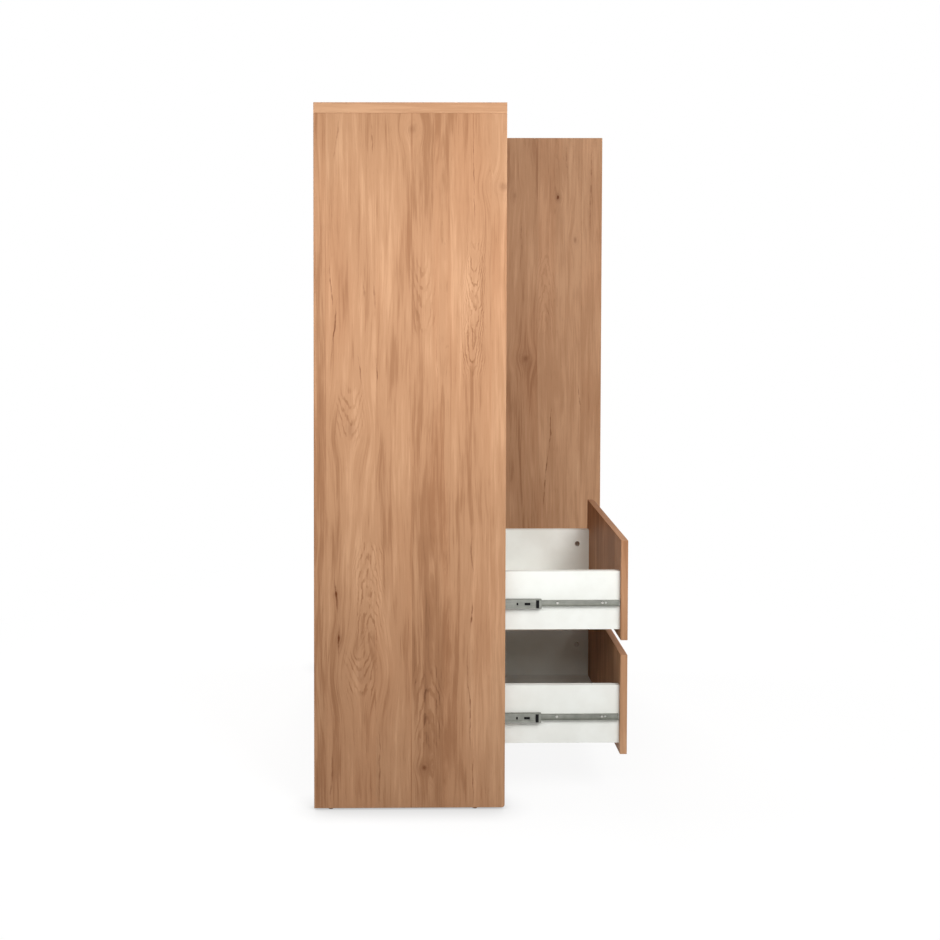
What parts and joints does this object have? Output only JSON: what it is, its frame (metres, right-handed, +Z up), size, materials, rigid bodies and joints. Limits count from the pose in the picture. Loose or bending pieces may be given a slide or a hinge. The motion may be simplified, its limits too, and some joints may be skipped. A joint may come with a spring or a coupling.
{
  "type": "highboard",
  "caption": "handleless oak-decor highboard with inset doors, loose shelves and drawers on ball-bearing slides, shown with its tall door and its drawers open",
  "frame": {"origin": "on the floor, in the middle of the width and of the whole depth with the right door open", "axes": "+X to the right seen from the front, -Y out of the front, +Z up"},
  "size_m": [0.85, 0.754, 1.48],
  "materials": {
    "oak_decor": "satin printed oak decor",
    "white_melamine": "white melamine",
    "back_board": "raw hardboard",
    "beech_dowel": "raw beech",
    "zinc_steel": "nickel plated",
    "slide_steel": "zinc plated",
    "black_plastic": "moulded black plastic",
    "grey_plastic": "moulded grey plastic",
    "pale_plastic": "moulded glide plastic"
  },
  "bodies": {
    "carcass": {"left_side_panel": "oak_decor", "right_side_panel": "oak_decor", "top_panel": "oak_decor", "bottom_panel": "oak_decor", "middle_partition": "oak_decor", "fixed_shelf": "oak_decor", "drawer_divider": "oak_decor", "plinth_board": "oak_decor", "back_panel": "back_board", "left_shelf_1": "oak_decor", "left_shelf_2": "oak_decor", "right_shelf_1": "oak_decor", "right_shelf_2": "oak_decor", "right_shelf_3": "oak_decor", "right_shelf_4": "oak_decor", "shelf_pins": "zinc_steel", "floor_glides": "pale_plastic", "cam_discs": "zinc_steel", "cam_bolts": "zinc_steel", "wood_dowels": "beech_dowel", "hinge_plates": "zinc_steel", "hinge_arms": "zinc_steel", "latch_housings": "grey_plastic", "lower_left_slide_outer": "slide_steel", "lower_right_slide_outer": "slide_steel", "upper_left_slide_outer": "slide_steel", "upper_right_slide_outer": "slide_steel"},
    "left_door_leaf": {"left_door": "oak_decor", "left_hinge_cups": "zinc_steel", "left_hinge_pins": "zinc_steel"},
    "right_door_leaf": {"right_door": "oak_decor", "right_hinge_cups": "zinc_steel", "right_hinge_pins": "zinc_steel"},
    "lower_drawer": {"lower_drawer_front": "oak_decor", "lower_drawer_left_side": "white_melamine", "lower_drawer_right_side": "white_melamine", "lower_drawer_back": "white_melamine", "lower_drawer_bottom": "white_melamine", "lower_drawer_fittings": "zinc_steel", "lower_left_slide_inner": "slide_steel", "lower_right_slide_inner": "slide_steel"},
    "lower_slide": {"lower_left_slide_middle": "slide_steel", "lower_right_slide_middle": "slide_steel", "lower_slide_cages": "black_plastic"},
    "upper_drawer": {"upper_drawer_front": "oak_decor", "upper_drawer_left_side": "white_melamine", "upper_drawer_right_side": "white_melamine", "upper_drawer_back": "white_melamine", "upper_drawer_bottom": "white_melamine", "upper_drawer_fittings": "zinc_steel", "upper_left_slide_inner": "slide_steel", "upper_right_slide_inner": "slide_steel"},
    "upper_slide": {"upper_left_slide_middle": "slide_steel", "upper_right_slide_middle": "slide_steel", "upper_slide_cages": "black_plastic"},
    "left_door_plunger": {"left_door_latch_plunger": "grey_plastic"},
    "right_door_plunger": {"right_door_latch_plunger": "grey_plastic"},
    "lower_drawer_plunger": {"lower_drawer_latch_plunger": "grey_plastic"},
    "upper_drawer_plunger": {"upper_drawer_latch_plunger": "grey_plastic"}
  },
  "joints": [
    {"name": "left_door_swing", "type": "hinge", "parent": "carcass", "child": "left_door_leaf", "pos_m": [-0.378, -0.013, 0.7795], "axis": [0, 0, -1], "range_deg": [0, 105]},
    {"name": "right_door_swing", "type": "hinge", "parent": "carcass", "child": "right_door_leaf", "pos_m": [0.378, -0.013, 0.7795], "axis": [0, 0, 1], "range_deg": [-90, 15]},
    {"name": "lower_drawer_run", "type": "slide", "parent": "carcass", "child": "lower_drawer", "axis": [0, -1, 0], "range_m": [-0.262, 0.088]},
    {"name": "lower_slide_run", "type": "slide", "parent": "carcass", "child": "lower_slide", "axis": [0, -1, 0], "range_m": [-0.131, 0.044]},
    {"name": "upper_drawer_run", "type": "slide", "parent": "carcass", "child": "upper_drawer", "axis": [0, -1, 0], "range_m": [-0.262, 0.088]},
    {"name": "upper_slide_run", "type": "slide", "parent": "carcass", "child": "upper_slide", "axis": [0, -1, 0], "range_m": [-0.131, 0.044]},
    {"name": "left_door_push", "type": "slide", "parent": "carcass", "child": "left_door_plunger", "axis": [0, -1, 0], "range_m": [0, 0.01]},
    {"name": "right_door_push", "type": "slide", "parent": "carcass", "child": "right_door_plunger", "axis": [0, -1, 0], "range_m": [-0.01, 0.00167]},
    {"name": "lower_drawer_push", "type": "slide", "parent": "carcass", "child": "lower_drawer_plunger", "axis": [0, -1, 0], "range_m": [-0.01, 0.00336]},
    {"name": "upper_drawer_push", "type": "slide", "parent": "carcass", "child": "upper_drawer_plunger", "axis": [0, -1, 0], "range_m": [-0.01, 0.00336]}
  ],
  "couplings": [
    {"joint": "lower_slide_run", "follows": "lower_drawer_run", "ratio": 0.5},
    {"joint": "upper_slide_run", "follows": "upper_drawer_run", "ratio": 0.5},
    {"joint": "left_door_push", "follows": "left_door_swing", "m_per_rad": 0.005457},
    {"joint": "right_door_push", "follows": "right_door_swing", "m_per_rad": 0.006366},
    {"joint": "lower_drawer_push", "follows": "lower_drawer_run", "ratio": 0.038168},
    {"joint": "upper_drawer_push", "follows": "upper_drawer_run", "ratio": 0.038168}
  ]
}
